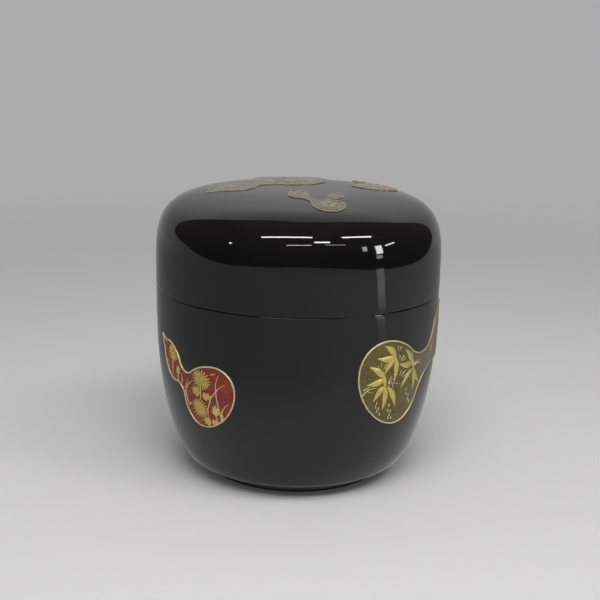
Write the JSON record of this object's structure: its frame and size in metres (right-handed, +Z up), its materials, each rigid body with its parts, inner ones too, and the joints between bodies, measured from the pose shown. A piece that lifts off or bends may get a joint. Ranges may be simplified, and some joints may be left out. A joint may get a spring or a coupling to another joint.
{
  "type": "tea caddy",
  "caption": "Round lidded tea caddy: a turned cup with a standing rim and a deep domed lid that drops over it, black lacquered with raised gourd ornament.",
  "frame": {"origin": "centre of the foot, on the surface that the caddy stands on", "axes": "+Z up along the turning axis, -Y towards the side that the picture shows, +X to the right of that side"},
  "size_m": [0.0662, 0.066, 0.0663],
  "materials": {
    "turned_wood": "turned, under the lacquer",
    "black_lacquer": "polished black lacquer",
    "inner_lacquer": "black lacquer, a little softer than outside",
    "red_lacquer": "raised red lacquer with fine powder",
    "olive_lacquer": "raised olive lacquer with fine gold powder",
    "gold_powder": "burnished gold powder"
  },
  "bodies": {
    "body": {"body_wood_core": "turned_wood", "body_outer_lacquer": "black_lacquer", "body_inner_lacquer": "inner_lacquer", "foot_lacquer": "black_lacquer", "body_gourd_chrysanthemum_field": "red_lacquer", "body_gourd_chrysanthemum_gold_line": "gold_powder", "body_gourd_bamboo_field": "olive_lacquer", "body_gourd_bamboo_gold_line": "gold_powder", "body_gourd_plum_field": "red_lacquer", "body_gourd_plum_gold_line": "gold_powder"},
    "lid": {"lid_wood_core": "turned_wood", "lid_outer_lacquer": "black_lacquer", "lid_inner_lacquer": "inner_lacquer", "lid_gourd_large_field": "olive_lacquer", "lid_gourd_large_gold_line": "gold_powder", "lid_gourd_red_field": "red_lacquer", "lid_gourd_red_gold_line": "gold_powder", "lid_gourd_small_field": "olive_lacquer", "lid_gourd_small_gold_line": "gold_powder"}
  },
  "joints": [
    {"name": "lid_lift", "type": "slide", "parent": "body", "child": "lid", "axis": [0, 0, 1], "range_m": [0, 0.03]}
  ]
}
